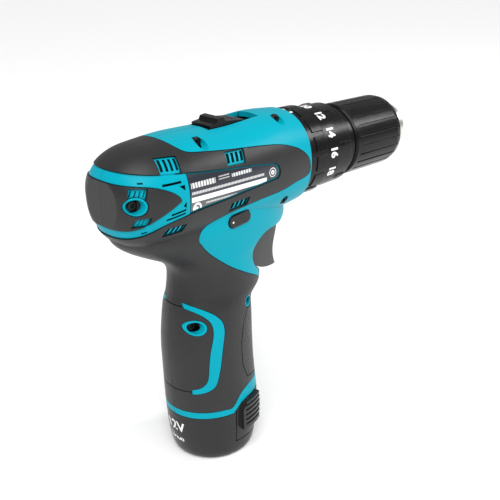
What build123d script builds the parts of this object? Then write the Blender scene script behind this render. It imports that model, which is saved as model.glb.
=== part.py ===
"""Compact cordless hammer driver-drill, built up as the pieces it comes apart into.

Frame: millimetres, +X forwards along the spindle to the chuck, +Z up, +Y to the left of
someone holding the drill.  The origin is the middle of the battery's flat base.
"""
from build123d import *
from math import atan2, cos, degrees, pi, radians, sin, sqrt, tan
import os

os.makedirs("parts", exist_ok=True)

# ---------------------------------------------------------------- driving dimensions
AXIS_Z = 150.0          # height of the spindle over the base
REAR_X = -60.0          # back of the motor housing
RIM_X = 49.3            # front rim of the housing
SKIN = 1.0              # thickness of the soft overmould
WALL = 1.7              # thickness of the hard shell under it
SHELL = SKIN + WALL
GROOVE = 0.25           # gap between the overmould and the raised shell
SEAM = 0.05             # half the gap between the two clamshells
GAP = 0.35              # clearance between pieces that move past each other

BARREL_POWER = 2.25     # superellipse powers: 2 is an ellipse, more is boxier
HANDLE_POWER = 2.05

# Barrel stations: x, half width, height over the axis, depth under it.
BARREL = [
    (REAR_X, 11.5, 9.5, 12.8),
    (-58.3, 15.3, 13.3, 16.9),
    (-55.5, 18.6, 16.2, 20.3),
    (-50.5, 21.9, 19.3, 23.5),
    (-42.0, 25.0, 21.8, 25.8),
    (-30.0, 26.6, 23.0, 26.5),
    (-12.0, 26.7, 23.8, 26.5),
    (8.0, 26.4, 23.8, 26.5),
    (24.0, 26.2, 25.0, 26.3),
    (38.0, 25.4, 25.2, 25.6),
    (RIM_X, 24.2, 24.2, 24.2),
]
# Handle and battery stations: z, rear x, front x, half width.
HANDLE = [
    (0.0, -19.0, 19.0, 18.6),
    (1.6, -21.0, 20.8, 20.3),
    (6.0, -22.8, 22.6, 21.3),
    (16.0, -24.6, 24.4, 21.9),
    (27.0, -25.6, 25.0, 22.3),
    (38.0, -26.2, 24.0, 22.1),
    (52.0, -26.8, 22.8, 21.7),
    (66.0, -27.0, 22.3, 21.5),
    (80.0, -25.6, 22.0, 21.0),
    (87.0, -24.6, 23.6, 20.3),
    (91.5, -23.6, 28.8, 19.7),
    (98.0, -22.6, 28.8, 19.3),
    (106.0, -23.4, 28.2, 19.3),
    (111.0, -28.0, 30.6, 20.0),
    (115.0, -35.0, 39.0, 20.6),
    (119.0, -43.0, 46.8, 21.2),
    (124.0, -51.0, 48.8, 22.2),
    (130.0, -56.0, 49.0, 23.0),
    (137.0, -57.0, 48.0, 23.4),
]

# Joint line between the handle and the battery, seen from the side.
BASE_LINE = [(-45.0, 26.4), (-4.4, 26.4), (0.9, 30.9), (6.0, 32.2), (45.0, 32.2)]
BASE_GAP = 0.35

# Edges of the soft overmould on the shell, seen from the side: x, z.
RIDGE_EDGE = [(-30.5, 176.0), (-29.4, 172.4), (-26.4, 169.4), (-20.5, 168.1), (-6.5, 166.6),
              (8.0, 165.4), (19.8, 164.4), (29.3, 163.0), (36.0, 161.0), (42.5, 157.8),
              (47.0, 153.5), (48.4, 149.5)]
FRONT_LOWER_EDGE = [(48.4, 149.5), (48.2, 145.6), (39.2, 142.9), (28.8, 140.7), (18.4, 139.7),
                    (8.7, 138.8), (-0.2, 137.7), (-9.2, 136.3), (-17.3, 134.0), (-21.5, 131.0),
                    (-22.6, 127.5), (-21.0, 124.5)]
GUARD_EDGE = [(-21.0, 124.5), (-14.8, 117.6), (-8.6, 112.4), (-1.4, 107.1), (8.8, 101.0), (34.0, 86.0)]
BAND_EDGE = [(40.0, 39.6), (10.0, 39.4), (1.8, 36.9), (-1.4, 33.9), (-3.8, 30.9), (-8.0, 30.2),
             (-45.0, 30.2)]
# Opening in the overmould for the rear band and the rating plate.
WINDOW_TOP = [(-66.0, 164.2), (-58.2, 163.9), (-44.0, 162.4), (-30.6, 161.3), (-13.3, 159.4),
              (4.9, 157.7), (21.0, 155.6)]
WINDOW_FRONT = [(21.0, 155.6), (24.2, 154.0), (25.3, 151.0), (24.0, 148.0)]
WINDOW_BOTTOM = [(24.0, 148.0), (4.3, 146.2), (-14.2, 144.6), (-31.5, 142.9), (-43.7, 139.6),
                 (-51.5, 135.6), (-56.5, 133.8), (-66.0, 133.4)]
# Rear patch of overmould inside the teal band.
POD_TOP = [(-66.0, 159.6), (-58.5, 159.2), (-53.1, 158.7), (-47.6, 157.9), (-43.5, 156.6),
           (-39.3, 154.6), (-36.4, 152.3), (-35.2, 150.2)]
POD_BOTTOM = [(-35.2, 150.2), (-38.3, 148.2), (-43.1, 145.4), (-48.6, 142.1), (-53.8, 139.2),
              (-58.5, 137.9), (-66.0, 137.6)]
PLATE_REAR_X = -31.0    # where the band ends and the rating plate begins
# Raised teal bracket round the palm rest on the handle, outer edge then inner edge.
BRACKET_OUTER = [(-22.6, 90.3), (-17.2, 87.6), (-11.6, 83.6), (-8.8, 79.8), (-8.0, 75.3),
                 (-9.2, 67.0), (-10.6, 57.0), (-12.2, 49.0), (-13.7, 45.2), (-16.6, 42.9),
                 (-22.6, 41.2)]
BRACKET_INNER = [(-22.6, 43.8), (-19.2, 45.4), (-17.2, 48.2), (-16.4, 53.0), (-15.1, 66.3),
                 (-13.5, 76.5), (-14.3, 80.4), (-16.6, 83.6), (-22.6, 87.7)]
# Shallow grooves that run from the bracket's ends round the back of the palm rest.
PALM_SEAMS = [
    [(-45.0, 89.4), (-22.2, 88.8), (-22.2, 88.3), (-45.0, 88.9)],
    [(-45.0, 42.4), (-22.2, 42.8), (-22.2, 42.3), (-45.0, 41.9)],
]
# Dimpled finger pad on the front of each side of the handle.
FINGER_PAD = [(24.0, 82.6), (8.5, 81.0), (4.6, 74.0), (2.8, 63.7), (3.2, 52.3), (6.6, 44.0),
              (24.0, 40.6)]

# Vents: rear x, front x, lower z, upper z and lean of each group of slots.
VENTS = [
    (-42.0, -32.4, 163.2, 167.4, 0.9),
    (-6.6, 4.4, 160.6, 164.5, 0.9),
    (-56.6, -50.4, 154.2, 156.9, 0.6),
    (-55.4, -49.8, 140.9, 143.9, -1.6),
    (-42.2, -32.8, 134.6, 137.6, -2.0),
    (-6.2, 4.8, 138.8, 141.9, -2.0),
]
VENT_SLOTS = 4
VENT_RIB = 0.9

# Clamshell screws: x, z, well radius, depth of the well's floor, tip, raised rim radius.
SCREWS = [
    (-54.6, 150.0, 3.3, 14.0, 9.0, 4.2),
    (-14.9, 170.3, 2.6, 10.5, 9.0, 0.0),
    (36.5, 172.6, 2.5, 9.5, 9.0, 0.0),
    (-20.2, 78.2, 3.0, 8.6, 8.0, 4.0),
    (10.5, 84.8, 2.4, 13.6, 10.0, 3.1),
]
CASE_SCREW = (32.9, 133.7, 2.4, 18.9, -11.5)   # short one, into the gear case's lug
SCREW_R = 1.2
HEAD_R = 2.1
HEAD_H = 1.7
BOSS_R = 2.6

# Opening for the trigger and the trigger itself, seen from the side.
TRIGGER_CUT = [(60.0, 118.0), (44.0, 118.6), (30.0, 119.6), (21.8, 119.0), (16.6, 115.6),
               (14.4, 110.2), (15.4, 104.4), (19.4, 99.4), (25.6, 96.0), (33.0, 94.2), (60.0, 93.4)]
TRIGGER_SIDE = [(43.6, 117.5), (30.2, 119.0), (22.2, 118.4), (17.3, 115.0), (15.1, 110.0),
                (16.1, 104.8), (19.9, 100.1), (25.9, 96.7), (38.8, 94.6)]
TRIGGER_FRONT = [(38.8, 94.6), (37.0, 98.5), (36.4, 103.5), (38.2, 109.5), (43.6, 117.5)]
TRIGGER_TRAVEL = 6.0
TRIGGER_HALF = 13.8     # half width of the room inside the housing
TRIGGER_PLAN = [(14.0, 13.2), (22.0, 12.4), (32.0, 10.4), (40.5, 7.6), (44.6, 3.6), (45.4, 0.0)]

SELECTOR_REAR = -2.0    # two-speed selector on the roof
SELECTOR_FRONT = 21.0
SELECTOR_TRAVEL = 5.6
LEVER_X = 1.0           # reversing lever
LEVER_Z = 132.0

# Motor and gear train, from the back forwards.
MOTOR_R = 17.4
MOTOR_REAR = -49.0
MOTOR_FRONT = -5.0
SHAFT_R = 1.6
ARMATURE_POLES = 5
FAN_BLADES = 12
MODULE = 0.65
RING_TEETH = 48
SUN_TEETH = (12, 18, 24)
PLANET_TEETH = (18, 15, 12)
PRESSURE_ANGLE = radians(20)
ADDENDUM = 0.85
DEDENDUM = 1.15
BACKLASH = 0.14
RING_R = 17.6           # outside of the ring gears
CASE_IN = 17.75
CASE_R = 19.3
NOSE_R = 14.6           # gear case's nose inside the rings
PIN_R = 1.5
STAGE_X = (2.2, 12.0, 24.6)      # back of each stage's planets
STAGE_W = (6.0, 6.4, 7.0)

# Rings and chuck.
MODE_X = (49.6, 63.3)
TORQUE_X = (63.6, 84.0)
CAP_X = (84.3, 89.3)
SLEEVE_X = (89.7, 129.7)
SLEEVE_GROOVES = 24
MODE_GRIPS = 14
TORQUE_RIDGES = 7
NOSE_X = 139.5
SPINDLE_R = 5.9
THREAD_R = 4.75         # three eighths of an inch, for the chuck
JAW_LEAN = radians(15)
JAW_R = 3.6
JAW_LENGTH = 28.0
GRIP_R = 2.0            # the jaws stand open on a 4 mm bit
CLOSED_R = 0.75
JAW_TIP_X = NOSE_X - 1.0
JAW_REACH = GRIP_R + 1.2        # from the spindle axis to the middle of a jaw's tip

# Battery.
CELL_R = 8.6
CELL_PITCH = 17.3
CELL_LENGTH = 65.0
CELL_BOTTOM = 4.0
STEM_X = -1.2
STEM_WALL = 0.7
STEM_TOP = 70.5
LATCH_X = (-2.2, 17.0)
LATCH_Z = (9.0, 31.6)
BUTTON_STATION = 4      # handle station at the buttons' level
BUTTON = [(0.6, 15.6), (15.4, 15.6), (16.4, 24.0), (15.4, 31.4), (3.4, 31.4), (0.4, 27.4)]


def written(name, *shapes):
    """Writes one sub-part; its separate solids share the node."""
    solids = [solid for shape in shapes for solid in shape.solids()]
    whole = solids[0] if len(solids) == 1 else Compound(children=solids)
    export_step(whole, f"parts/{name}.step")


def closed_face(*runs):
    """A flat face seen from the side; each run of points is a line or a smooth curve."""
    edges = []
    for run in runs:
        points = [Vector(x, 0, z) for x, z in run]
        edges.append(Line(points[0], points[1]) if len(points) == 2 else Spline(points))
    return make_face(edges)


def through(face, low=-60.0, high=60.0):
    """A side-view face pushed right through the body along Y."""
    return extrude(Pos(0, low, 0) * face, amount=high - low, dir=(0, 1, 0))


def polygon_prism(points, low=-60.0, high=60.0):
    closed = Polyline([Vector(x, 0, z) for x, z in points], close=True)
    return through(make_face(closed), low, high)


def resized(face, amount):
    """The flat face grown by amount, its edges kept as plain curves."""
    return offset(face, amount=amount).face().to_splines() if amount else face


def power_outline(reach_u, up, down, power, count=16):
    """Points of a closed superellipse, from its rightmost point round."""
    points = []
    for i in range(count):
        c = cos(2 * pi * i / count)
        s = sin(2 * pi * i / count)
        reach_v = up if s > 0 else down
        u = reach_u * abs(c) ** (2 / power) * (1 if c > 0 else -1)
        v = reach_v * abs(s) ** (2 / power) * (1 if s > 0 else -1)
        points.append((u, v))
    return points


def barrel_solid(inset):
    """The motor and gear housing's form, drawn in by inset."""
    sections = []
    for x, wide, up, down in BARREL:
        if x < -50:
            x += inset
        if x == RIM_X and inset > SKIN:
            x += 1.0
        outline = power_outline(wide - inset, up - inset, down - inset, BARREL_POWER)
        sections.append(make_face(Spline([Vector(x, u, AXIS_Z + v) for u, v in outline], periodic=True)))
    return loft(sections)


def handle_solid(inset):
    """The handle's form from the battery's base up into the barrel, drawn in by inset."""
    sections = []
    for z, rear, front, wide in HANDLE:
        middle = (rear + front) / 2
        reach = (front - rear) / 2 - inset
        outline = power_outline(reach, wide - inset, wide - inset, HANDLE_POWER)
        sections.append(make_face(Spline([Vector(middle + u, v, z) for u, v in outline], periodic=True)))
    return loft(sections)


def body_solid(inset):
    return barrel_solid(inset) + handle_solid(inset)


def rod_x(x0, x1, radius, hole=0.0, y=0.0, z=AXIS_Z):
    """A round bar or tube lying along the drill's length."""
    place = Pos(x0, y, z) * Rot(0, 90, 0)
    bar = place * Cylinder(radius, x1 - x0, align=(Align.CENTER, Align.CENTER, Align.MIN))
    if hole:
        bar -= rod_x(x0 - 1, x1 + 1, hole, y=y, z=z)
    return bar


def rod_y(x, z, radius, y0, y1):
    place = Pos(x, y0, z) * Rot(-90, 0, 0)
    return place * Cylinder(radius, y1 - y0, align=(Align.CENTER, Align.CENTER, Align.MIN))


def rod_z(x, y, z0, z1, radius):
    return Pos(x, y, z0) * Cylinder(radius, z1 - z0, align=(Align.CENTER, Align.CENTER, Align.MIN))


def block(x0, x1, y0, y1, z0, z1):
    size = (x1 - x0, y1 - y0, z1 - z0)
    return Pos((x0 + x1) / 2, (y0 + y1) / 2, (z0 + z1) / 2) * Box(*size)


def turned(profile):
    """A solid turned about the spindle axis from its half profile of x and radius."""
    outline = Polyline([Vector(x, 0, AXIS_Z + r) for x, r in profile], close=True)
    return revolve(make_face(outline), Axis((0, 0, AXIS_Z), (1, 0, 0)))


def around(shape, angle):
    """The shape turned about the spindle axis."""
    return shape.rotate(Axis((0, 0, AXIS_Z), (1, 0, 0)), angle)


def all_round(shape, count, start=0.0):
    """Copies of the shape evenly round the spindle axis."""
    return [around(shape, start + 360 * i / count) for i in range(count)]


# ---------------------------------------------------------------- housing and overmould
def window_face():
    """The opening in the overmould, with a rounded front end, open at the back."""
    back = [[(-66.0, 133.4), (-80.0, 133.4)], [(-80.0, 133.4), (-80.0, 164.2)],
            [(-80.0, 164.2), (-66.0, 164.2)]]
    return closed_face(WINDOW_TOP, WINDOW_FRONT, WINDOW_BOTTOM, *back)


def plate_face():
    """The same opening, closed off inside the back of the housing."""
    return closed_face(WINDOW_TOP, WINDOW_FRONT, WINDOW_BOTTOM, [(-66.0, 133.4), (-66.0, 164.2)])


def overmould_zone(grow):
    """The side-view area that the soft overmould covers, grown by a groove or drawn in."""
    rear = [[(-8.0, 30.2), (-70.0, 30.2)], [(-70.0, 30.2), (-70.0, 176.0)],
            [(-70.0, 176.0), (-30.5, 176.0)]]
    wrap = closed_face(RIDGE_EDGE, FRONT_LOWER_EDGE, GUARD_EDGE, [(34.0, 86.0), (40.0, 39.6)],
                       BAND_EDGE[:-1], *rear)
    bracket = closed_face(BRACKET_OUTER, [(-22.6, 41.2), (-22.6, 43.8)], BRACKET_INNER,
                          [(-22.6, 87.7), (-22.6, 90.3)])
    zone = through(resized(wrap, -grow)) - through(resized(window_face(), grow))
    return zone - through(resized(bracket, grow))


def pod_zone(grow):
    pod = closed_face(POD_TOP, POD_BOTTOM, [(-66.0, 137.6), (-66.0, 159.6)])
    return through(resized(pod, -grow))


def plate_zone(grow):
    """The rating plate's recess, between the rear band and the front of the window."""
    front = block(PLATE_REAR_X + grow, 40, -60, 60, 130, 170)
    return through(resized(plate_face(), -grow)) & front


def vent_window(rear, front, low, high, lean):
    """The window in the overmould round one group of slots."""
    frame = [(rear - VENT_RIB, low - VENT_RIB), (front - VENT_RIB + 0.4, low - VENT_RIB - lean / 2),
             (front + VENT_RIB, high + VENT_RIB), (rear + 0.2, high + VENT_RIB + lean / 3)]
    return polygon_prism(frame)


def vent_slots(rear, front, low, high, lean):
    """One group of slanted slots."""
    pitch = (front - rear) / VENT_SLOTS
    slots = []
    for i in range(VENT_SLOTS):
        x = rear + i * pitch
        drop = -lean * 0.35 * i / VENT_SLOTS
        corners = [(x + 0.3, low + drop), (x + pitch - VENT_RIB, low + drop),
                   (x + pitch - VENT_RIB + 1.1, high + drop), (x + 1.4, high + drop)]
        slots.append(polygon_prism(corners))
    return slots


def grille():
    """Small cooling slots in the teal band behind the rating plate."""
    shapes = [
        [(-43.4, 158.6), (-34.4, 158.9), (-34.4, 157.9), (-43.4, 157.6)],
        [(-35.8, 156.7), (-33.0, 156.9), (-33.0, 154.4)],
        [(-34.6, 147.6), (-33.0, 149.4), (-33.0, 146.6)],
        [(-40.4, 144.9), (-33.2, 146.1), (-33.2, 145.3), (-40.4, 144.0)],
        [(-42.6, 142.8), (-33.4, 144.5), (-33.4, 143.8), (-42.6, 142.0)],
        [(-52.6, 160.2), (-50.6, 160.2), (-50.6, 159.5), (-52.6, 159.5)],
        [(-52.0, 137.4), (-50.0, 138.0), (-50.0, 137.2), (-52.0, 136.6)],
    ]
    return [polygon_prism(shape) for shape in shapes]


def base_split(shift):
    """Everything under the joint line with the battery."""
    line = [(x, z + shift) for x, z in BASE_LINE]
    return polygon_prism([(-45.0, -5.0)] + line + [(45.0, -5.0)])


def screw_bosses(form):
    """A post down the middle of the housing for each screw, trimmed to the form."""
    return [rod_y(x, z, BOSS_R, -floor - 0.4, tip + 2.0) & form for x, z, well, floor, tip, rim in SCREWS]


def selector_opening():
    slot = block(SELECTOR_REAR - 1.5, SELECTOR_FRONT + SELECTOR_TRAVEL + 2.0, -7.2, 7.2, 165, 190)
    pocket = block(SELECTOR_REAR - 8.5, SELECTOR_FRONT + SELECTOR_TRAVEL + 9.0, -8.4, 8.4, 165, 172.0)
    return slot + pocket


def trigger_opening():
    """The opening in front, and inside it the room that the trigger's body slides back into."""
    face = closed_face(TRIGGER_CUT, [(60.0, 93.4), (60.0, 118.0)])
    side = resized(closed_face(TRIGGER_SIDE, TRIGGER_FRONT), GAP)
    room = [Pos(-share * TRIGGER_TRAVEL, 0, 0) * through(side, -TRIGGER_HALF, TRIGGER_HALF)
            for share in (0.25, 0.5, 0.75, 1.02)]
    return [through(face)] + room


def lever_slot(grow):
    """The reversing lever's lozenge, straight through both sides."""
    half = 3.8
    middle = Pos(LEVER_X, 0, LEVER_Z) * Rot(0, -6, 0)
    bar = middle * Box(2 * half, 120, 6.0 + 2 * grow)
    ends = [middle * Pos(side * half, 0, 0) * Rot(90, 0, 0) * Cylinder(3.0 + grow, 120)
            for side in (-1, 1)]
    return bar + ends[0] + ends[1]


def housing_and_overmould():
    outer = body_solid(0)
    inner = body_solid(SKIN)
    cavity = body_solid(SHELL)
    band = body_solid(0.4)
    skin_zone = overmould_zone(0) + pod_zone(0)
    recess = skin_zone + plate_zone(0)
    rims = [rod_y(x, z, rim, -60, 0) for x, z, well, floor, tip, rim in SCREWS if rim]
    for rim in rims:
        recess -= rim
    window = block(-80, PLATE_REAR_X + 0.01, -60, 60, 133.2, 164.6)
    shells = outer - (recess - inner) - cavity
    shells -= window - band
    for boss in screw_bosses(inner):
        shells += boss
    cuts = [base_split(BASE_GAP), selector_opening(), lever_slot(GAP)]
    cuts += trigger_opening()
    cuts += [slot for vent in VENTS for slot in vent_slots(*vent)] + grille()
    for x, z, well, floor, tip, rim in SCREWS:
        cuts.append(rod_y(x, z, well, -60, -floor))
        cuts.append(rod_y(x, z, SCREW_R + 0.1, -60, tip + 0.4))
    x, z, well, floor, tip = CASE_SCREW
    cuts.append(rod_y(x, z, well, -60, -floor))
    cuts.append(rod_y(x, z, SCREW_R + 0.1, -60, tip - 0.5))
    cuts.append(lamp_body(GAP))
    cuts.append(rod_x(MOTOR_REAR - GAP, MOTOR_FRONT + 1, MOTOR_R + GAP))
    cuts.append(rod_x(MOTOR_REAR - 4.2, MOTOR_REAR, MOTOR_R - 1.25))
    shells -= cuts
    written("housing_right", largest(shells & block(-90, 90, -60, -SEAM, -10, 200)))
    written("housing_left", largest(shells & block(-90, 90, SEAM, 60, -10, 200)))

    groove_form = body_solid(0.55)
    soft = (outer & (overmould_zone(GROOVE) + pod_zone(GROOVE))) - inner
    for x, z, well, floor, tip, rim in SCREWS:
        soft -= rod_y(x, z, (rim or well) + GROOVE, -60, 0)
    soft -= polygon_seam(FINGER_PAD, groove_form)
    soft -= [polygon_prism(seam) - groove_form for seam in PALM_SEAMS]
    soft -= [vent_window(*vent) for vent in VENTS]
    soft -= [base_split(BASE_GAP), lever_slot(GAP)]
    soft -= trigger_opening()
    for name, side in (("right", block(-90, 90, -60, -SEAM, -10, 200)),
                       ("left", block(-90, 90, SEAM, 60, -10, 200))):
        written(f"overmould_{name}", *sizeable(soft & side))
        plate = (body_solid(SKIN - 0.3) & plate_zone(0.7)) - inner
        plate &= side
        written(f"rating_plate_{name}", largest(plate))


def polygon_seam(points, depth_form):
    """A 0.5 mm parting groove along a side-view outline, as deep as depth_form allows."""
    outline = make_face(Polyline([Vector(x, 0, z) for x, z in points], close=True))
    return through(offset(outline, amount=0.25)) - through(offset(outline, amount=-0.25)) - depth_form


def largest(shape):
    return max(shape.solids(), key=lambda solid: solid.volume)


def sizeable(shape):
    return [solid for solid in shape.solids() if solid.volume > 30]


def housing_screws():
    screws = []
    for x, z, well, floor, tip, rim in SCREWS:
        head = rod_y(x, z, HEAD_R, -floor - HEAD_H, -floor - 0.02)
        shank = rod_y(x, z, SCREW_R, -floor - 0.5, tip)
        screws.append(head + shank - hex_recess(x, z, floor + HEAD_H))
    x, z, well, floor, tip = CASE_SCREW
    short = rod_y(x, z, 1.9, -floor - HEAD_H, -floor - 0.02) + rod_y(x, z, SCREW_R, -floor - 0.5, tip)
    screws.append(short - hex_recess(x, z, floor + HEAD_H))
    written("housing_screws", *screws)


def hex_recess(x, z, face):
    return Pos(x, -face, z) * Rot(90, 0, 0) * extrude(RegularPolygon(1.15, 6), -1.0)


# ---------------------------------------------------------------- controls
def trigger_parts():
    side = through(closed_face(TRIGGER_SIDE, TRIGGER_FRONT))
    left = [Vector(x, y, 90) for x, y in TRIGGER_PLAN]
    right = [Vector(x, -y, 90) for x, y in reversed(TRIGGER_PLAN[:-1])]
    plan = make_face(Spline(left + right) + Line(right[-1], left[0]))
    body = side & extrude(plan, 35, dir=(0, 0, 1))
    body -= rod_x(10, 27, 4.0, z=109.6)
    plunger = rod_x(9.0, 22.0, 1.8, z=102.6)
    written("trigger", body + plunger)
    coil_spring_x("trigger_spring", 8.8, 26.6, 3.2, 0.4, 6, z=109.6)
    case = block(-14, 8.5, -8.5, 8.5, 98, 118.5) - rod_x(-2, 9, 2.4, z=102.6)
    case += block(-17.5, -14, -5, 5, 101, 106) + block(-17.5, -14, -5, 5, 109, 114)
    case -= block(LEVER_X - 2.4, LEVER_X + 2.4, -20, 20, 117.2, 120)
    written("trigger_switch", case)


def coil_spring_x(name, x0, x1, radius, wire, turns, z=AXIS_Z, y=0.0):
    """A compression spring along X between two flats."""
    pitch = (x1 - x0 - 2 * wire) / turns
    path = Helix(pitch, x1 - x0 - 2 * wire, radius)
    start = path @ 0
    section = Plane(origin=start, z_dir=path % 0) * Circle(wire)
    coil = sweep(section, path=path, is_frenet=True)
    written(name, Pos(x0 + wire, y, z) * Rot(0, 90, 0) * coil)


def reversing_lever():
    """A bar across the drill under the motor, its two ends standing out of the sides."""
    pill = lever_slot(0)
    rear = LEVER_X - 2.5
    front = LEVER_X + 2.5
    bar = block(rear, front, -15.0, 15.0, 119.6, 123.4)
    for side in (-1, 1):
        y0, y1 = sorted((side * 15.6, side * 23.6))
        bar += pill & block(-20, 20, y0, y1, 120, 140)
        y0, y1 = sorted((side * 13.0, side * 16.0))
        bar += pill & block(-20, 20, y0, y1, 120, 131.4)
        y0, y1 = sorted((side * 12.6, side * 15.0))
        bar += block(rear, front, y0, y1, 119.6, 131.4)
    tooth = block(LEVER_X - 1.6, LEVER_X + 1.6, -1.6, 1.6, 118.0, 120.0)
    written("reversing_lever", bar + tooth)


def speed_selector():
    rear = SELECTOR_REAR
    front = SELECTOR_FRONT
    side = [(rear, 171.3), (rear, 174.6), (rear + 4.4, 175.2), (rear + 5.2, 176.9), (rear + 8.4, 177.3),
            (rear + 9.8, 175.6), (front - 6.6, 174.8), (front - 1.0, 174.2), (front, 171.3)]
    knob = polygon_prism(side, -6.7, 6.7)
    for i in range(5):
        x = rear + 11.2 + i * 1.7
        knob -= block(x, x + 0.7, -5.4, 5.4, 174.2, 176)
    plate = block(rear - 7.5, front + 8.0, -7.9, 7.9, 171.1, 171.7)
    x = STAGE_X[1] + 0.45
    stem = block(x - 2.4, x + 2.4, -3.0, 3.0, 170.2, 171.3)
    stem -= shift_ring_wire(0.05)
    written("speed_selector", knob + plate + stem)
    written("shift_yoke", shift_ring_wire(0.0))


def shift_ring_wire(grow):
    """The spring-wire yoke: a half hoop over the gear case, its ends in the gear's groove."""
    x = STAGE_X[1] + 0.45
    radius = CASE_R + 1.0
    hoop = rod_x(x - 0.6 - grow, x + 0.6 + grow, radius + 0.6 + grow, radius - 0.6 - grow)
    hoop &= block(x - 5, x + 5, -30, 30, AXIS_Z - 0.6 - grow, 190)
    ends = rod_y(x, AXIS_Z, 0.6 + grow, 16.9, radius) + rod_y(x, AXIS_Z, 0.6 + grow, -radius, -16.9)
    return hoop + ends


def lamp_body(grow):
    """The lamp's round barrel under the chin, tipped down towards the bit."""
    return Pos(45.4, 0, 122.6) * Rot(0, 82, 0) * Cylinder(3.1 + grow, 7.0 + 2 * grow)


def lamp():
    """A clear lens with a domed front."""
    dome = Pos(45.4, 0, 122.6) * Rot(0, 82, 0) * Pos(0, 0, -1.6) * Sphere(6.0)
    written("lamp_lens", lamp_body(0) & dome)


# ---------------------------------------------------------------- motor
def motor():
    can = rod_x(MOTOR_REAR, MOTOR_FRONT, MOTOR_R) - rod_x(MOTOR_REAR - 1, MOTOR_FRONT - 1.4, MOTOR_R - 1.3)
    can += rod_x(MOTOR_FRONT - 1, MOTOR_FRONT + 2.6, 5.6)
    can -= rod_x(MOTOR_FRONT - 3, MOTOR_FRONT + 2.1, 4.55) + rod_x(-8, 10, SHAFT_R + 0.6)
    can -= all_round(block(MOTOR_FRONT - 3, MOTOR_FRONT + 1, 8.5, 12.5, AXIS_Z - 3.5, AXIS_Z + 3.5), 4)
    written("motor_can", can)
    magnets = rod_x(-43, -16, MOTOR_R - 1.35, 13.4)
    magnets -= block(-50, 0, -30, 30, AXIS_Z - 4.0, AXIS_Z + 4.0)
    written("motor_magnets", magnets)
    cap = rod_x(MOTOR_REAR - 2.6, MOTOR_REAR - 0.05, MOTOR_R - 1.6)
    cap += rod_x(MOTOR_REAR - 3.6, MOTOR_REAR - 2, 5.6)
    cap -= rod_x(MOTOR_REAR - 3.1, MOTOR_REAR + 1, 4.55)
    written("motor_end_cap", cap)
    front = rod_x(MOTOR_FRONT - 1.2, MOTOR_FRONT + 2.0, 4.5, SHAFT_R + 0.05)
    rear = rod_x(MOTOR_REAR - 3.0, MOTOR_REAR - 0.2, 4.5, SHAFT_R + 0.05)
    written("motor_bearings", front, rear)
    brushes = [rod_y(-45.4, AXIS_Z, 1.9, 4.75, 11), rod_y(-45.4, AXIS_Z, 1.9, -11, -4.75)]
    written("carbon_brushes", *brushes)


def armature():
    written("armature_shaft", rod_x(MOTOR_REAR - 2.9, 8.9, SHAFT_R))
    slot = block(-50, 0, 4.6, 10.8, AXIS_Z - 2.6, AXIS_Z + 2.6)
    slot += block(-50, 0, 4.6, 14, AXIS_Z - 0.8, AXIS_Z + 0.8)
    core = rod_x(-40, -18, 12.6, SHAFT_R + 0.01)
    core -= all_round(slot, ARMATURE_POLES)
    written("armature_core", core)
    coil = block(-42.4, -15.6, 5.0, 10.4, AXIS_Z - 2.3, AXIS_Z + 2.3)
    written("armature_windings", *all_round(coil, ARMATURE_POLES))
    bars = rod_x(-48.0, -42.8, 4.6, SHAFT_R + 0.01)
    bars -= all_round(block(-50, -40, 3.6, 6, AXIS_Z - 0.2, AXIS_Z + 0.2), 2 * ARMATURE_POLES)
    written("commutator", bars)
    fan = rod_x(-14.6, -13.4, 15.2, SHAFT_R + 0.01) + rod_x(-13.5, -9.0, 3.4, SHAFT_R + 0.01)
    fan += all_round(block(-13.5, -9.0, 6.0, 14.6, AXIS_Z - 0.5, AXIS_Z + 0.5), FAN_BLADES)
    written("cooling_fan", fan)


# ---------------------------------------------------------------- gears
def involute(angle):
    return tan(angle) - angle


def gear_face(teeth, extra=0.0, tip=ADDENDUM, root=DEDENDUM):
    """An involute gear's outline at the origin, with a tooth centred on the first axis."""
    pitch_r = MODULE * teeth / 2
    base_r = pitch_r * cos(PRESSURE_ANGLE)
    tip_r = pitch_r + tip * MODULE
    root_r = pitch_r - root * MODULE
    half = (pi * MODULE / 2 + extra) / (2 * pitch_r) + involute(PRESSURE_ANGLE)
    flank = []
    for i in range(3):
        r = max(root_r, base_r) + (tip_r - max(root_r, base_r)) * i / 2
        flank.append((r, half - involute(acos_ratio(base_r, r))))
    if base_r > root_r:
        flank.insert(0, (root_r, flank[0][1]))
    points = []
    for i in range(teeth):
        middle = 2 * pi * i / teeth
        points += [(r, middle - a) for r, a in flank]
        points += [(r, middle + a) for r, a in reversed(flank)]
    return make_face(Polyline([(r * cos(a), r * sin(a)) for r, a in points], close=True))


def acos_ratio(base_r, r):
    ratio = min(1.0, base_r / r)
    return atan2(sqrt(1 - ratio * ratio), ratio)


def gear_x(teeth, x0, x1, turn=0.0, extra=-BACKLASH, tip=ADDENDUM, root=DEDENDUM, y=0.0, z=0.0):
    """A spur gear along the spindle; turn is its first tooth's angle from +Y towards +Z."""
    flat = gear_face(teeth, extra, tip, root)
    place = Plane(origin=(x0, y, AXIS_Z + z), x_dir=(0, cos(turn), sin(turn)), z_dir=(1, 0, 0))
    return extrude(place * flat, x1 - x0)


def planet_turn(stage, where):
    """Angle of a planet's first tooth so that it is in mesh with the sun at this place."""
    phase = (where * SUN_TEETH[stage] / (2 * pi)) % 1.0
    return where + pi + (phase + 0.5) * 2 * pi / PLANET_TEETH[stage]


def ring_turn(stage):
    phase = (-planet_turn(stage, 0.0) * PLANET_TEETH[stage] / (2 * pi)) % 1.0
    return -phase * 2 * pi / RING_TEETH


def ring_bore(stage, x0, x1):
    return gear_x(RING_TEETH, x0, x1, ring_turn(stage), BACKLASH, tip=DEDENDUM, root=ADDENDUM)


def planet_reach(stage):
    return MODULE * (SUN_TEETH[stage] + PLANET_TEETH[stage]) / 2


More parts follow.
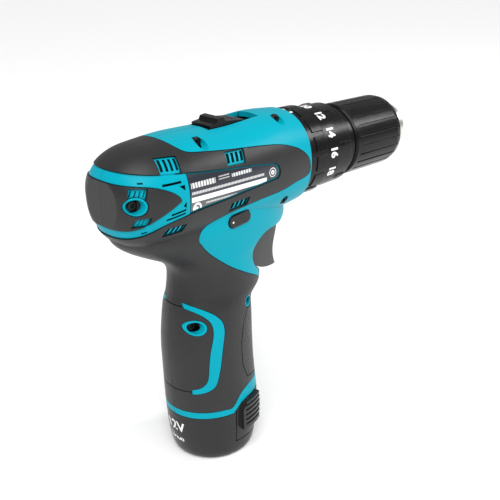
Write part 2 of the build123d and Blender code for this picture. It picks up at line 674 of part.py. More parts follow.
def planets(stage):
    """The three planets of a stage, each bored for its pin."""
    x0 = STAGE_X[stage]
    x1 = x0 + STAGE_W[stage]
    reach = planet_reach(stage)
    out = []
    for i in range(3):
        where = 2 * pi * i / 3
        y = reach * cos(where)
        z = reach * sin(where)
        gear = gear_x(PLANET_TEETH[stage], x0, x1, planet_turn(stage, where), y=y, z=z)
        out.append(gear - rod_x(x0 - 1, x1 + 1, PIN_R + 0.05, y=y, z=AXIS_Z + z))
    return out


def carrier_pins(stage, x0, x1):
    reach = planet_reach(stage)
    spots = [2 * pi * i / 3 for i in range(3)]
    return [rod_x(x0, x1, PIN_R, y=reach * cos(a), z=AXIS_Z + reach * sin(a)) for a in spots]


def gear_train():
    x1, x2, x3 = STAGE_X
    w1, w2, w3 = STAGE_W
    pinion = gear_x(SUN_TEETH[0], 1.6, 8.6) - rod_x(0, 10, SHAFT_R + 0.01)
    written("motor_pinion", pinion)
    for stage, name in ((0, "first"), (2, "third")):
        for i, gear in enumerate(planets(stage)):
            written(f"{name}_planet_{i + 1}", gear)
    written("second_planets", *planets(1))

    first_ring = rod_x(x1 - 0.2, x1 + w1 + 0.2, RING_R) - ring_bore(0, x1 - 1, x1 + w1 + 1)
    written("first_ring_gear", first_ring)
    plate_x = x1 + w1 + 0.5
    plate = gear_x(RING_TEETH, plate_x, x2 - 0.6, ring_turn(1), -2 * BACKLASH, tip=0.6, root=0.9)
    carrier = plate - rod_x(0, plate_x + 0.6, SHAFT_R + 1.0)
    carrier += carrier_pins(0, x1 + 0.1, plate_x + 1)
    carrier += gear_x(SUN_TEETH[1], plate_x + 1, x2 + w2 + 0.1)
    written("first_carrier", carrier)

    ring_x = plate_x + 0.2
    shift = rod_x(ring_x, x2 + w2 - 0.8, RING_R - 0.35) - ring_bore(1, ring_x - 1, x2 + w2 + 1)
    groove = rod_x(x2 - 0.35, x2 + 1.25, RING_R + 1, RING_R - 1.0)
    shift -= groove
    written("shift_ring_gear", shift)

    second = rod_x(x2 + w2 + 0.4, x2 + w2 + 2.6, 14.2)
    second += carrier_pins(1, x2 + 0.1, x2 + w2 + 1)
    second += gear_x(SUN_TEETH[2], x2 + w2 + 2, x3 + w3 + 0.1)
    second -= rod_x(x2 + w2, x2 + w2 + 0.8, 6.0)
    written("second_carrier", second)

    third_ring = rod_x(x3 - 0.3, x3 + w3 + 0.8, RING_R) - ring_bore(2, x3 - 1, x3 + w3 + 2)
    written("third_ring_gear", third_ring)
    out = rod_x(x3 + w3 + 0.5, x3 + w3 + 4.4, 14.0)
    for pin in carrier_pins(2, x3 + 0.1, x3 + w3 + 1):
        out += pin
    out -= rod_x(30, 50, SPINDLE_R + 0.01)
    written("output_carrier", out)


def gear_case():
    end = STAGE_X[2] + STAGE_W[2] + 5.0
    case = turned([(1.5, CASE_IN), (1.5, CASE_R), (48.9, CASE_R), (48.9, NOSE_R),
                   (CAP_X[0] - 0.3, NOSE_R), (CAP_X[0] - 0.3, 9.1), (end, 9.1), (end, CASE_IN)])
    x = STAGE_X[1]
    case -= block(x - 0.6, x + SELECTOR_TRAVEL + 1.6, -30, 30, AXIS_Z - 1.0, AXIS_Z + 1.0)
    x, z = CASE_SCREW[:2]
    case += block(x - 2.6, x + 2.6, -15.2, -9.0, z - 2.2, z + 3.2) - rod_x(0, 60, CASE_R - 0.5)
    case -= rod_y(x, z, SCREW_R + 0.05, -30, -11.0)
    written("gear_case", case)
    back = rod_x(-1.6, 1.4, CASE_R, 5.8)
    back += rod_x(1.3, 1.9, CASE_IN - 0.1, CASE_IN - 2.0)
    written("gear_case_back", back)
    rear = rod_x(41.0, 47.0, 9.05, SPINDLE_R + 0.03)
    front = rod_x(76.0, 82.0, 9.05, SPINDLE_R + 0.03)
    written("spindle_bearings", rear, front)


# ---------------------------------------------------------------- rings and clutch
def rings():
    x0, x1 = MODE_X
    mode = turned([(x0, 19.6), (x0, 22.4), (x0 + 0.5, 22.9), (x1 - 0.3, 22.6), (x1, 22.3), (x1, 19.6)])
    grip = block(x0 + 5.6, x1 - 0.6, 22.0, 23.35, AXIS_Z - 3.9, AXIS_Z + 3.9)
    mode += all_round(grip & rod_x(x0, x1, 23.3), MODE_GRIPS, 6.0)
    written("mode_ring", mode)

    x0, x1 = TORQUE_X
    torque = turned([(x0, 19.6), (x0, 21.4), (x0 + 0.4, 21.8), (x0 + 9.0, 22.0), (x1 - 1.0, 21.6),
                     (x1, 20.7), (x1, 15.2), (x1 - 2.2, 15.2), (x1 - 2.2, 19.6)])
    ridge = turned([(x0 + 10, 15), (x0 + 10, 21.9), (x0 + 13, 22.5), (x1 - 2.4, 22.3), (x1 - 1.2, 21.2),
                    (x1 - 1.2, 15)])
    ridge &= block(x0 + 10, x1 - 1.2, 21.2, 22.6, AXIS_Z - 1.1, AXIS_Z + 1.1)
    torque += all_round(ridge, TORQUE_RIDGES, 14.6)
    for turn in (0, 180):
        torque -= around(block(x0 - 1, x1 - 2.2, 18, 20.6, AXIS_Z - 2.4, AXIS_Z + 2.4), turn)
    written("torque_ring", torque)

    nut = rod_x(75.4, 79.4, 19.2, NOSE_R + 0.08)
    for turn in (0, 180):
        nut += around(block(75.4, 79.4, 18, 20.2, AXIS_Z - 2.0, AXIS_Z + 2.0), turn)
    written("clutch_nut", nut)
    coil_spring_x("clutch_spring", 49.2, 73.4, 17.0, 1.1, 5)
    cap = turned([(CAP_X[0], SPINDLE_R + 0.6), (CAP_X[0], 18.9), (CAP_X[1] - 0.6, 18.9),
                  (CAP_X[1], 18.3), (CAP_X[1], SPINDLE_R + 0.6)])
    written("nose_cap", cap)


# ---------------------------------------------------------------- spindle and chuck
def jaw_bar(radius, beyond, length):
    """A round bar along a jaw's slide, from beyond its tip back to its tail."""
    foot = Pos(JAW_TIP_X, JAW_REACH, AXIS_Z) * Rot(0, 0, -degrees(JAW_LEAN)) * Rot(0, -90, 0)
    return foot * Pos(0, 0, -beyond) * Cylinder(radius, length + beyond,
                                                align=(Align.CENTER, Align.CENTER, Align.MIN))


def jaw(turn):
    """One jaw: a leaning round bar with a gripping land, wedge-cut to close with its fellows."""
    bar = jaw_bar(JAW_R, 6.0, JAW_LENGTH) & block(80, JAW_TIP_X, -30, 30, 100, 200)
    bar -= rod_x(80, 150, GRIP_R)
    apex = GRIP_R - CLOSED_R + 0.15
    wedge = Polyline([Vector(80, apex, AXIS_Z), Vector(80, apex + 40, AXIS_Z + 40 * sqrt(3)),
                      Vector(80, apex + 40, AXIS_Z - 40 * sqrt(3))], close=True)
    bar &= extrude(make_face(wedge), amount=70, dir=(1, 0, 0))
    return around(bar, turn)


def jaw_channel(turn):
    return around(jaw_bar(JAW_R + 0.15, 30.0, JAW_LENGTH + 16.0), turn)


def spindle_and_chuck():
    rear = STAGE_X[2] + STAGE_W[2] + 0.7
    spindle = turned([(rear, 0), (rear, SPINDLE_R), (90.4, SPINDLE_R), (90.4, THREAD_R),
                      (108.0, THREAD_R), (108.0, 0)])
    spindle -= rod_x(95, 109, 2.45)
    written("spindle", spindle)

    body = turned([(91.0, THREAD_R + 0.03), (91.0, 9.4), (103.0, 9.4), (103.0, 12.2), (111.6, 12.2),
                   (111.6, 14.8), (127.8, 14.8), (127.8, 13.1), (NOSE_X - 1.2, 13.1), (NOSE_X, 11.9),
                   (NOSE_X, 5.6), (112.0, 5.6), (112.0, 3.3), (109.0, 3.3), (109.0, THREAD_R + 0.03)])
    for turn in (0, 120, 240):
        body -= jaw_channel(turn)
    written("chuck_body", body)
    for i, turn in enumerate((0, 120, 240)):
        written(f"jaw_{i + 1}", jaw(turn))
    screw = rod_x(96.0, 112.2, 2.4) + rod_x(112.1, 115.4, 4.4)
    written("chuck_screw", screw)

    x0, x1 = SLEEVE_X
    sleeve = turned([(x0, 9.8), (x0, 18.9), (x0 + 1.0, 19.9), (x1 - 4.6, 19.6), (x1 - 1.6, 18.9),
                     (x1, 17.6), (x1, 13.5), (x1 - 1.6, 13.5), (x1 - 1.6, 15.2), (112.4, 15.2),
                     (112.4, 18.0), (91.4, 18.0), (91.4, 9.8)])
    sleeve -= all_round(block(x0 + 3.4, x1 + 1, 19.25, 22, AXIS_Z - 0.6, AXIS_Z + 0.6), SLEEVE_GROOVES)
    written("chuck_sleeve", sleeve)
    lean = tan(JAW_LEAN)
    tip = JAW_REACH + (JAW_R + 0.25) / cos(JAW_LEAN)
    inner = [tip + (JAW_TIP_X - x) * lean for x in (104.6, 110.6)]
    nut = turned([(104.6, inner[0]), (104.6, 17.9), (110.6, 17.9), (110.6, inner[1])])
    written("chuck_nut", nut)


# ---------------------------------------------------------------- battery
def cell_spots():
    """The three cells stand in a triangle, one in front."""
    rear = STEM_X - CELL_PITCH / sqrt(12)
    return [(STEM_X + CELL_PITCH / sqrt(3), 0), (rear, CELL_PITCH / 2), (rear, -CELL_PITCH / 2)]


def stem_face(grow):
    """The outline that wraps the three cells, grown by a clearance or a wall."""
    return offset(make_face(Polyline(cell_spots(), close=True)), amount=CELL_R + grow)


def girdle(grow):
    """The battery's outline at the level of its buttons, grown, as an upright prism."""
    z, rear, front, wide = HANDLE[BUTTON_STATION]
    reach = (front - rear) / 2 + grow
    outline = power_outline(reach, wide + grow, wide + grow, HANDLE_POWER)
    section = make_face(Spline([Vector((rear + front) / 2 + u, v, 8) for u, v in outline], periodic=True))
    return extrude(section, 30, dir=(0, 0, 1))


def battery():
    form = handle_solid(0)
    inner = handle_solid(2.0)
    low = base_split(0)
    base = (form & low) - (inner & base_split(-1.6) & block(-60, 60, -60, 60, 2.2, 60))
    case = base + extrude(Pos(0, 0, 2.0) * stem_face(0.05 + STEM_WALL), STEM_TOP - 2.0)
    case += (girdle(-0.6) & block(-60, 60, -60, 60, 24.8, 26.2)) - block(LATCH_X[0] - 1, 60, -60, 60, 20, 30)
    case -= extrude(Pos(0, 0, 3.4) * stem_face(0.05), STEM_TOP - 4.6)
    x0, x1 = LATCH_X
    z0, z1 = LATCH_Z
    case -= block(x0 - 0.5, x1 + 0.5, -60, 60, z0 - 0.6, 40) - handle_solid(3.4)
    slot = [block(-11, -9, side * 9 - 0.6, side * 9 + 0.6, STEM_TOP - 2, STEM_TOP + 1) for side in (-1, 1)]
    case -= slot
    written("battery_case", largest(case))
    cells = [rod_z(x, y, CELL_BOTTOM, CELL_BOTTOM + CELL_LENGTH, CELL_R) for x, y in cell_spots()]
    written("battery_cells", *cells)
    blades = [block(-10.8, -9.2, side * 9 - 0.4, side * 9 + 0.4, STEM_TOP - 1.4, STEM_TOP + 5)
              for side in (-1, 1)]
    written("battery_terminals", *blades)

    tongue = (form - handle_solid(1.7)) & block(x0, x1, -60, 60, z0, z1) & base_split(-0.2)
    pad = (girdle(2.3) - girdle(-1.4)) & polygon_prism(BUTTON) & base_split(-0.2)
    for i in range(5):
        z = 17.8 + i * 2.8
        pad -= block(2.0, 40, -60, 60, z, z + 1.2) - girdle(1.2)
    for name, side in (("right", block(-40, 40, -60, -10, 0, 60)), ("left", block(-40, 40, 10, 60, 0, 60))):
        written(f"battery_latch_{name}", largest((tongue + pad) & side))


def electrics():
    """The block at the top of the handle that the battery's blades push into."""
    terminal = block(-16, -4, -13, 13, STEM_TOP + 6.0, STEM_TOP + 13.0)
    for side in (-1, 1):
        terminal -= block(-11.2, -8.8, side * 9 - 0.7, side * 9 + 0.7, STEM_TOP + 5, STEM_TOP + 9)
    written("terminal_block", terminal)


housing_and_overmould()
housing_screws()
trigger_parts()
reversing_lever()
speed_selector()
lamp()
motor()
armature()
gear_train()
gear_case()
rings()
spindle_and_chuck()
battery()
electrics()
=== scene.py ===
import math

import bpy
from mathutils import Matrix, Vector


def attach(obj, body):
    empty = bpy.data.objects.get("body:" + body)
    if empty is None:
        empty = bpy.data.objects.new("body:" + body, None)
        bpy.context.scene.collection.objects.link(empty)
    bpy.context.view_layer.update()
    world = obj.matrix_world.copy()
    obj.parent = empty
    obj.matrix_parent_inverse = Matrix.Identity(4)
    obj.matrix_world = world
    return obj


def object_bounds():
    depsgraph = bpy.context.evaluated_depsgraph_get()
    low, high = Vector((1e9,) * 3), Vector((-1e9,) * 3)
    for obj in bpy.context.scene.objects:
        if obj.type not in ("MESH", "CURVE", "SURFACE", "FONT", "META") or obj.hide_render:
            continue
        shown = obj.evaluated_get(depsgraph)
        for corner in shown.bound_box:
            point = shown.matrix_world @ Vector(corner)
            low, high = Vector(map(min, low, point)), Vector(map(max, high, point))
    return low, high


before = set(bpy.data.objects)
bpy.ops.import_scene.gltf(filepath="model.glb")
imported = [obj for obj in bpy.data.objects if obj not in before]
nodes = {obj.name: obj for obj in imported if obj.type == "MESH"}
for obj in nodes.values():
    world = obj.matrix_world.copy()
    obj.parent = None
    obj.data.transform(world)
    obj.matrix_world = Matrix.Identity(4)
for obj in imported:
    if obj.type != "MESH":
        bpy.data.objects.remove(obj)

cad_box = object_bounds()
MM = 0.001


# ------------------------------------------------------------------------------------------------
# Clamshell housing.  Two glass-filled nylon halves, moulded in teal, that meet on the drill's
# middle plane.  The faces are spark-eroded to a fine satin grain, every edge has a small moulded
# round, and painted shade colours the slot walls in the vents nearly black.

class Field:
    """A shader socket that sums can be written with; each operation adds its Math node."""

    def __init__(self, tree, socket):
        self.tree = tree
        self.socket = socket

    def join(self, operation, other=0.0, flipped=False):
        math_node = self.tree.nodes.new("ShaderNodeMath")
        math_node.operation = operation
        pair = [other, self] if flipped else [self, other]
        for slot, value in zip(math_node.inputs, pair):
            if isinstance(value, Field):
                self.tree.links.new(value.socket, slot)
            else:
                slot.default_value = value
        return Field(self.tree, math_node.outputs[0])

    def __add__(self, other):
        return self.join("ADD", other)

    def __radd__(self, other):
        return self.join("ADD", other, True)

    def __sub__(self, other):
        return self.join("SUBTRACT", other)

    def __rsub__(self, other):
        return self.join("SUBTRACT", other, True)

    def __mul__(self, other):
        return self.join("MULTIPLY", other)

    def __rmul__(self, other):
        return self.join("MULTIPLY", other, True)

    def __truediv__(self, other):
        return self.join("DIVIDE", other)

    def __abs__(self):
        return self.join("ABSOLUTE")

    def whole(self):
        return self.join("FLOOR")

    def fraction(self):
        return self.join("FRACT")

    def clamped(self):
        return self.join("MINIMUM", 1.0).join("MAXIMUM", 0.0)

    def above(self, level, soft=0.15):
        """0 below level and 1 above it, with an edge as wide as soft."""
        return ((self - level) / soft + 0.5).clamped()

    def between(self, low, high, soft=0.15):
        return self.above(low, soft) * (1.0 - self.above(high, soft))


class Finish:
    """One material: a principled shader, and the nodes that vary it over the piece."""

    def __init__(self, name, colour, roughness, **constants):
        self.material = bpy.data.materials.new(name)
        self.material.use_nodes = True
        self.tree = self.material.node_tree
        self.shader = self.tree.nodes["Principled BSDF"]
        self.shader.inputs["Base Color"].default_value = (*colour, 1)
        self.shader.inputs["Roughness"].default_value = roughness
        for socket, value in constants.items():
            self.shader.inputs[socket.replace("_", " ")].default_value = value

    def node(self, kind, settings=None, output=0, **sockets):
        """Any other node: its settings are made first, then its sockets' values or links.

        A socket is called by its name, or by n and its number where names repeat.
        """
        new = self.tree.nodes.new("ShaderNode" + kind)
        for name, value in (settings or {}).items():
            if name == "stops":
                ramp = new.color_ramp.elements
                ramp.remove(ramp[1])
                ramp[0].position = value[0][0]
                ramp[0].color = (*value[0][1], 1)
                for place, tint in value[1:]:
                    ramp.new(place).color = (*tint, 1)
            else:
                setattr(new, name, value)
        for name, value in sockets.items():
            numbered = name[0] == "n" and name[1:].isdigit()
            slot = new.inputs[int(name[1:]) if numbered else name]
            if isinstance(value, Field):
                self.tree.links.new(value.socket, slot)
            else:
                slot.default_value = value
        return Field(self.tree, new.outputs[output])

    def spot(self):
        """The point on the piece, in metres."""
        return self.node("TexCoord", output=3)

    def place(self):
        """How far forward and how high the point is, in millimetres."""
        return [self.node("SeparateXYZ", output=axis, Vector=self.spot()) / MM for axis in (0, 2)]

    def grain(self, size_mm, detail=3.0, rough=0.6):
        """Noise with features of about size_mm."""
        return self.node("TexNoise", Vector=self.spot(), Scale=1.0 / (size_mm * MM),
                         Detail=detail, Roughness=rough)

    def mix(self, factor, first, second):
        a = first if isinstance(first, Field) else (*first, 1)
        b = second if isinstance(second, Field) else (*second, 1)
        return self.node("Mix", {"data_type": "RGBA"}, output=2, n0=factor, n6=a, n7=b)

    def feed(self, socket, field):
        self.tree.links.new(field.socket, self.shader.inputs[socket])
        return self

    def surface(self, height=None, depth_mm=0.05, edge_mm=0.4):
        """Rounds the edges a little and presses the height field into the surface."""
        normal = self.node("Bevel", {"samples": 6}, Radius=edge_mm * MM)
        if height is not None:
            normal = self.node("Bump", Strength=1.0, Distance=depth_mm * MM,
                               Height=height, Normal=normal)
        return self.feed("Normal", normal)

    def grimed(self, colour, reach_mm=0.9, depth=0.85):
        """Paints shade into the colour: darkens narrow gaps and corners, where little light
        reaches.
        """
        open_sky = self.node("AmbientOcclusion", {"samples": 8}, output=1, Distance=reach_mm * MM)
        gap_shade = (1.0 - open_sky).above(0.3, soft=0.5) * depth
        return self.feed("Base Color", self.mix(gap_shade, colour, (0.004, 0.005, 0.005)))

    def worn(self, spread, size_mm=9.0):
        """Handling varies the gloss slowly over the piece."""
        base = self.shader.inputs["Roughness"].default_value
        return self.feed("Roughness", base + (self.grain(size_mm, 2.0) - 0.5) * spread)

    def on(self, *names):
        for name in names:
            nodes[name].data.materials.clear()
            nodes[name].data.materials.append(self.material)
        return self


VENT_GROUPS = (  # rear, front, lowest and highest, in millimetres
    (-43.5, -31.0, 161.5, 168.5), (-8.0, 6.0, 159.0, 166.0),
    (-58.0, -49.0, 153.0, 158.0), (-57.0, -48.5, 139.0, 145.0),
    (-43.5, -31.5, 132.0, 139.0), (-8.0, 6.5, 136.0, 143.5),
)
shell_paint = Finish("teal_nylon", (0.0, 0.31, 0.40), 0.36, Specular_IOR_Level=0.08)
x, z = shell_paint.place()
vents = 0.0
for rear, front, low, high in VENT_GROUPS:
    vents = x.between(rear, front) * z.between(low, high) + vents
grille = x.between(-45.0, -32.4) * z.between(141.0, 160.0)
# Painted shade: inside the vent windows, the slot walls that face sideways are coloured nearly
# black.
outward = shell_paint.node("SeparateXYZ", output=1,
                           Vector=shell_paint.node("TexCoord", output=1))
slot_wall = 1.0 - abs(outward).above(0.42, soft=0.1)
painted_vent_shade = (vents + grille).clamped() * slot_wall
teal = shell_paint.mix(shell_paint.grain(14.0, detail=2.0), (0.0, 0.30, 0.39), (0.0, 0.325, 0.42))
# The shell's colour carries painted shade in its vent slots and narrow gaps.
shell_paint.grimed(shell_paint.mix(painted_vent_shade * 0.93, teal, (0.002, 0.006, 0.008)))
shell_paint.worn(0.10).surface(shell_paint.grain(0.35), depth_mm=0.012, edge_mm=0.35)
shell_paint.on("housing_right", "housing_left")


# ------------------------------------------------------------------------------------------------
# Soft overmould.  Charcoal thermoplastic rubber shot over the shells, finely grained on the body,
# coarser on the grip, with rows of dimples on the finger pad at the front of each side.

DIMPLE_PITCH = 3.2
DIMPLE_RADIUS = 0.2  # of a pitch


def distance(across, along):
    """How far a point is from the middle of a round mark."""
    return (across * across + along * along).join("SQRT")


soft_paint = Finish("charcoal_rubber", (0.016, 0.016, 0.017), 0.42, Specular_IOR_Level=0.34)
x, z = soft_paint.place()
on_grip = 1.0 - z.above(124.0, soft=22.0)
on_pad = x.above(5.0, soft=3.0) * z.between(43.5, 80.0, soft=2.0)
row = (z / DIMPLE_PITCH).whole()
across = ((x + row * (DIMPLE_PITCH / 2)) / DIMPLE_PITCH).fraction() - 0.5
along = (z / DIMPLE_PITCH).fraction() - 0.5
dimple = (1.0 - distance(across, along).above(DIMPLE_RADIUS, soft=0.12)) * on_pad
leather = soft_paint.node("TexVoronoi", {"feature": "SMOOTH_F1"}, Vector=soft_paint.spot(),
                          Scale=1400.0, Smoothness=0.6)
relief = soft_paint.grain(0.32) * 0.25 + leather * on_grip * 1.2 - dimple * 3.0
rubber = soft_paint.mix(soft_paint.grain(11.0), (0.012, 0.012, 0.0125), (0.02, 0.02, 0.021))
# Painted shade: the hollows of the dimples are coloured darker than the rubber around them.
shaded_dimples = soft_paint.mix(dimple * 0.8, rubber, (0.004, 0.004, 0.004))
# The rubber's colour carries painted shade in its narrow gaps.
soft_paint.grimed(shaded_dimples, reach_mm=0.6, depth=0.7)
soft_paint.worn(0.12, size_mm=7.0).surface(relief, depth_mm=0.1, edge_mm=0.45)
soft_paint.on("overmould_right", "overmould_left")


# ------------------------------------------------------------------------------------------------
# Rating plate.  A thin printed film stuck in each side's recess: dark blue above, fading to grey,
# with a white writing strip, a round stamp and a ringed mark.  Rows of small dashes stand where
# the small print would be, so it carries no words.

PLATE_REAR = -30.0  # the end that the strip and the rows start from
LEFT = -29.6        # where a row starts
STAMP = (-26.6, 144.9)
BADGE = (20.6, 151.4)

plate_paint = Finish("printed_film", (0.1, 0.11, 0.14), 0.30, Coat_Weight=0.3, Coat_Roughness=0.2)
x, z = plate_paint.place()
level = z - 149.0 + (x - PLATE_REAR) * 0.008
fade = ((level + (x - PLATE_REAR) * 0.16 + 3.0) / 9.0).clamped()
film_stops = [(0.0, (0.10, 0.10, 0.105)), (0.45, (0.055, 0.06, 0.07)),
              (0.7, (0.018, 0.022, 0.036)), (1.0, (0.008, 0.012, 0.022))]
film = plate_paint.node("ValToRGB", {"stops": film_stops}, Fac=fade)

strip = level.between(-1.15, 1.15) * x.between(-29.8, 16.5)
from_stamp = distance(x - STAMP[0], z - STAMP[1])
stamp = 1.0 - from_stamp.above(2.5)
stamp = stamp - from_stamp.between(0.6, 1.5) * (x - STAMP[0]).above(-0.6)
from_badge = distance(x - BADGE[0], z - BADGE[1])
badge = from_badge.between(1.9, 2.25) + from_badge.between(0.4, 1.1)
long_dash = (x * 0.62).fraction().between(0.18, 0.9, soft=0.2)
short_dash = (x * 1.15).fraction().between(0.2, 0.85, soft=0.3)
small_pair = z.between(155.0, 155.5) + z.between(156.2, 156.7)
rows = long_dash * z.between(154.2, 156.6) * x.between(LEFT, -15.5)
rows = rows + long_dash * z.between(154.6, 156.2) * x.between(-5.5, 7.0)
rows = rows + short_dash * small_pair * x.between(-13.5, -7.0)
rows = rows + short_dash * level.between(2.4, 3.6) * x.between(LEFT, 15.0)
rows = rows + short_dash * level.between(-3.1, -2.3) * x.between(-21.5, -2.5)
rows = rows + short_dash * level.between(-5.3, -4.6) * x.between(-21.5, -15.0)
white = (strip + stamp + badge + rows * 0.8).clamped()
plate_paint.feed("Base Color", plate_paint.mix(white, film, (0.85, 0.85, 0.85)))
plate_paint.surface(edge_mm=0.1)
plate_paint.on("rating_plate_right", "rating_plate_left")


# ------------------------------------------------------------------------------------------------
# Black mouldings.  Rings, chuck sleeve, nose cap and switches are satin black nylon with a light
# polish from handling.  The reversing lever is glossier, with a white dot pressed in each pad, and
# the trigger and the parts inside are plain grey nylon as it comes from the tool.

DOT = (-3.4, 131.4)

black_paint = Finish("black_nylon", (0.005, 0.005, 0.0055), 0.24, Specular_IOR_Level=0.16)
black_paint.worn(0.16, size_mm=6.0)
black_paint.surface(black_paint.grain(0.4), depth_mm=0.015, edge_mm=0.35)
black_paint.on("mode_ring", "torque_ring", "nose_cap", "chuck_sleeve", "speed_selector")

lever_paint = Finish("gloss_black", (0.004, 0.004, 0.004), 0.12, Specular_IOR_Level=0.4)
x, z = lever_paint.place()
dot = 1.0 - distance(x - DOT[0], z - DOT[1]).above(0.5)
lever_paint.feed("Base Color", lever_paint.mix(dot, (0.004, 0.004, 0.004), (0.8, 0.8, 0.8)))
lever_paint.worn(0.06, size_mm=5.0).surface(edge_mm=0.8)
lever_paint.on("reversing_lever")

trigger_paint = Finish("grey_nylon", (0.05, 0.05, 0.052), 0.4, Specular_IOR_Level=0.25)
trigger_paint.worn(0.12, size_mm=8.0)
trigger_paint.surface(trigger_paint.grain(0.5), depth_mm=0.01, edge_mm=0.8)
trigger_paint.on("trigger")

inner_paint = Finish("inner_nylon", (0.05, 0.05, 0.052), 0.5)
inner_paint.worn(0.1).surface(inner_paint.grain(0.6), depth_mm=0.02, edge_mm=0.2)
inner_paint.on("trigger_switch", "terminal_block", "motor_end_cap", "cooling_fan",
               "gear_case_back", "clutch_nut")


# ------------------------------------------------------------------------------------------------
# Torque scale.  White numbers, pad-printed round the back half of the torque ring and read from
# the chuck end.  The mode ring carries a row of three plain marks on its roof side, one for each
# way of working.

AXIS_HEIGHT = 150.0 * MM
NUMBERS = 9
NUMBER_TURN = 28.0   # degrees from one number to the next
SET_NUMBER = 7       # the one nearest the right-hand side at rest, and where it stands
SET_ANGLE = 3.8
RING_PRINT = (68.8 * MM, 21.98 * MM)  # how far forward, and the radius it is printed on
MODE_PRINT = (52.6 * MM, 22.84 * MM)
MARK_THICK = 0.12

print_paint = Finish("white_print", (0.86, 0.86, 0.86), 0.45, Specular_IOR_Level=0.3)


def printed(name, words, tall, bold, thick, spacing=1.0):
    """Lettering as a thin flat mesh about the origin; its sizes are in millimetres."""
    bpy.ops.object.select_all(action="DESELECT")
    bpy.ops.object.text_add(location=(0, 0, 0))
    piece = bpy.context.object
    piece.name = name
    piece.data.body = words
    piece.data.size = tall * MM
    piece.data.space_character = spacing
    piece.data.align_x = "CENTER"
    piece.data.align_y = "CENTER"
    piece.data.offset = bold * MM
    piece.data.extrude = thick * MM
    piece.data.resolution_u = 3
    bpy.ops.object.convert(target="MESH")
    piece.data.materials.clear()
    piece.data.materials.append(print_paint.material)
    return piece


def wrap(piece, angle, middle, radius):
    """Lays a flat piece, drawn in X and Y, on a ring: Y along the drill, X down the side."""
    for vertex in piece.data.vertices:
        across, along, out = vertex.co
        turn = math.radians(angle) - across / radius
        reach = radius + out
        vertex.co = (middle + along, -reach * math.cos(turn),
                     AXIS_HEIGHT + reach * math.sin(turn))


for step in range(NUMBERS):
    value = 2 * step + 2
    number = printed(f"torque_number_{value}", str(value), 6.6, 0.24, 0.06, spacing=0.9)
    wrap(number, SET_ANGLE + NUMBER_TURN * (SET_NUMBER - step), *RING_PRINT)
    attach(number, "torque_ring")

for name, angle, tall, wide in (("mode_mark_drill", 102.0, 3.2, 0.7),
                                ("mode_mark_hammer", 90.0, 2.0, 2.4),
                                ("mode_mark_screw", 76.0, 3.2, 1.2)):
    bpy.ops.object.select_all(action="DESELECT")
    bpy.ops.mesh.primitive_cube_add(size=1)
    mark = bpy.context.object
    mark.name = name
    mark.data.materials.append(print_paint.material)
    for vertex in mark.data.vertices:
        vertex.co *= Vector((wide, tall, MARK_THICK)) * MM
    wrap(mark, angle, *MODE_PRINT)
    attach(mark, "mode_ring")


# ------------------------------------------------------------------------------------------------
# Metalwork.  The chuck body and its nut are turned bright from bar, and keep the lathe's fine
# rings.  Jaws, gears and shafts are ground steel, the screws are blackened, the motor can is
# zinc-plated sheet, the gear case is die-cast, and the electrical parts are copper and carbon.

def metal(name, colour, roughness, *names, metallic=1.0):
    paint = Finish(name, colour, roughness, Metallic=metallic)
    paint.worn(0.12, size_mm=4.0).surface(paint.grain(0.5), depth_mm=0.008, edge_mm=0.25)
    paint.on(*names)


chuck_paint = Finish("turned_steel", (0.66, 0.64, 0.61), 0.26, Metallic=1.0)
forward = chuck_paint.place()[0]
lathe = chuck_paint.node("TexNoise", {"noise_dimensions": "1D"}, W=forward * 6.0,
                         Scale=1.0, Detail=4.0)
chuck_paint.feed("Roughness", 0.22 + lathe * 0.14)
chuck_paint.surface(lathe, depth_mm=0.012, edge_mm=0.3)
chuck_paint.on("chuck_body", "chuck_nut")

metal("jaw_steel", (0.32, 0.32, 0.33), 0.3, "jaw_1", "jaw_2", "jaw_3")
metal("black_oxide", (0.02, 0.02, 0.021), 0.38, "housing_screws", "chuck_screw", metallic=0.6)
metal("gear_steel", (0.5, 0.5, 0.5), 0.3,
      "motor_bearings", "armature_shaft", "motor_pinion", "first_carrier", "second_carrier",
      "second_planets", "first_planet_1", "first_planet_2", "first_planet_3",
      "third_planet_1", "third_planet_2", "third_planet_3", "first_ring_gear",
      "third_ring_gear", "shift_ring_gear", "output_carrier", "spindle", "spindle_bearings",
      "shift_yoke", "clutch_spring", "trigger_spring")
metal("zinc_plate", (0.42, 0.42, 0.43), 0.35, "motor_can")
metal("ferrite", (0.09, 0.09, 0.09), 0.6, "motor_magnets", metallic=0.2)
metal("carbon", (0.03, 0.03, 0.03), 0.55, "carbon_brushes", metallic=0.1)
metal("laminations", (0.28, 0.28, 0.29), 0.4, "armature_core")
metal("copper", (0.7, 0.33, 0.16), 0.3, "armature_windings", "commutator", "battery_terminals")
metal("die_cast", (0.5, 0.5, 0.52), 0.45, "gear_case")


# ------------------------------------------------------------------------------------------------
# Lamp lens and cells.  The lens is a clear polycarbonate drop snapped in above the trigger.  The
# three lithium cells are steel cans in blue shrink film, hidden inside the battery.

lens_paint = Finish("clear_lens", (0.92, 0.95, 0.97), 0.08, Transmission_Weight=0.85, IOR=1.49)
lens_paint.surface(edge_mm=0.2).on("lamp_lens")
cell_paint = Finish("cell_wrap", (0.03, 0.12, 0.35), 0.3)
cell_paint.worn(0.1).surface(cell_paint.grain(2.0), depth_mm=0.02)
cell_paint.on("battery_cells")


# ------------------------------------------------------------------------------------------------
# Battery.  A charcoal nylon pack with a satin face, slid up into the grip and held by a sprung
# tongue on each side.  Its voltage and cell chemistry are printed in white on the rounded back.

LABEL_SIDE = 1.0 * MM     # how far the lettering stands to one side
PRINT_CLEAR = 0.16 * MM   # how far it stands off the case
CASE_FOOT = 6.0 * MM      # the height at which these two are measured, and how much they grow
CASE_HALF_WIDTH = (21.3 * MM, 0.055)
CASE_REACH = (22.75 * MM, 0.16)
CASE_MIDDLE = -0.1 * MM
CASE_SQUARENESS = 2.05    # 2 would be an ellipse

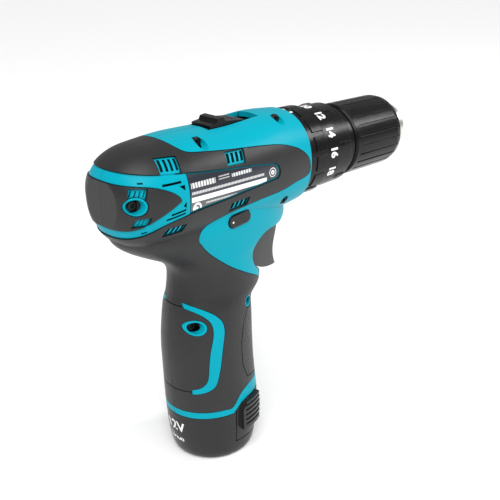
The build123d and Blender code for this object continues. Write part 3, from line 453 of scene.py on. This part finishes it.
pack_paint = Finish("battery_nylon", (0.014, 0.014, 0.0145), 0.3, Specular_IOR_Level=0.3)
pack_paint.worn(0.14, size_mm=8.0).surface(pack_paint.grain(0.3), depth_mm=0.015)
pack_paint.on("battery_case", "battery_latch_right", "battery_latch_left")

for name, words, tall, rise in (("pack_voltage", "12V", 8.6, 18.4),
                                 ("pack_cells", "Li-ion", 4.4, 11.0)):
    label = printed(name, words, tall, 0.14, 0.05)
    for vertex in label.data.vertices:
        across, along, out = vertex.co
        side = across - LABEL_SIDE
        height = along + rise * MM
        half_width, reach = (foot + (height - CASE_FOOT) * growth
                             for foot, growth in (CASE_HALF_WIDTH, CASE_REACH))
        curve = 1.0 - abs(side / half_width) ** CASE_SQUARENESS
        depth = reach * curve ** (1 / CASE_SQUARENESS)
        vertex.co = (CASE_MIDDLE - depth - PRINT_CLEAR - out, -side, height)
    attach(label, "battery")


# ------------------------------------------------------------------------------------------------
# Ground, light and camera.  A pale matt floor under the drill, a broad overhead light with two
# soft lamps at its sides, and a camera above and behind the right-hand side.

FLOOR_SIZE = 8
LIT_POINT = Vector((0.03, 0, 0.1))
ROOM_GLOW = 0.40
LAMPS = (  # name, kind, place, size and power; a sun's size is the angle that it fills
    ("overhead", "SUN", (-0.35, -0.25, 1.0), math.radians(50), 2.1),
    ("key", "AREA", (-0.7, -0.9, 1.0), 0.5, 9),
    ("front", "AREA", (0.9, -0.6, 0.8), 0.35, 6),
)
EYE = Vector((-0.2556, -0.3060, 0.2680))
AIM = Vector((0.0289, 0.0, 0.1019))
ROLL = math.radians(-0.63)


def turned_to(target, place):
    """The turn of a lamp or camera at place that looks at target."""
    return (target - place).to_track_quat("-Z", "Y")


bpy.ops.object.select_all(action="DESELECT")
bpy.ops.mesh.primitive_plane_add(size=FLOOR_SIZE, location=(0, 0, cad_box[0][2]))
floor = bpy.context.object
floor.name = "floor"
floor.data.materials.append(Finish("floor_white", (0.93, 0.93, 0.93), 0.8).material)

world = bpy.data.worlds.new("room")
bpy.context.scene.world = world
world.use_nodes = True
room = world.node_tree.nodes["Background"]
room.inputs["Color"].default_value = (1, 1, 1, 1)
room.inputs["Strength"].default_value = ROOM_GLOW

for name, kind, place, size, power in LAMPS:
    light = bpy.data.lights.new(name, kind)
    light.energy = power
    if kind == "SUN":
        light.angle = size
    else:
        light.size = size
    lamp = bpy.data.objects.new(name, light)
    lamp.location = place
    lamp.rotation_euler = turned_to(LIT_POINT, Vector(place)).to_euler()
    bpy.context.scene.collection.objects.link(lamp)

view = bpy.data.cameras.new("view")
view.lens = 61.6
view.sensor_width = 36
camera = bpy.data.objects.new("view", view)
turn = turned_to(AIM, EYE).to_matrix().to_4x4() @ Matrix.Rotation(ROLL, 4, "Z")
camera.matrix_world = Matrix.Translation(EYE) @ turn
bpy.context.scene.collection.objects.link(camera)
bpy.context.scene.camera = camera
bpy.context.scene.view_settings.view_transform = "Standard"
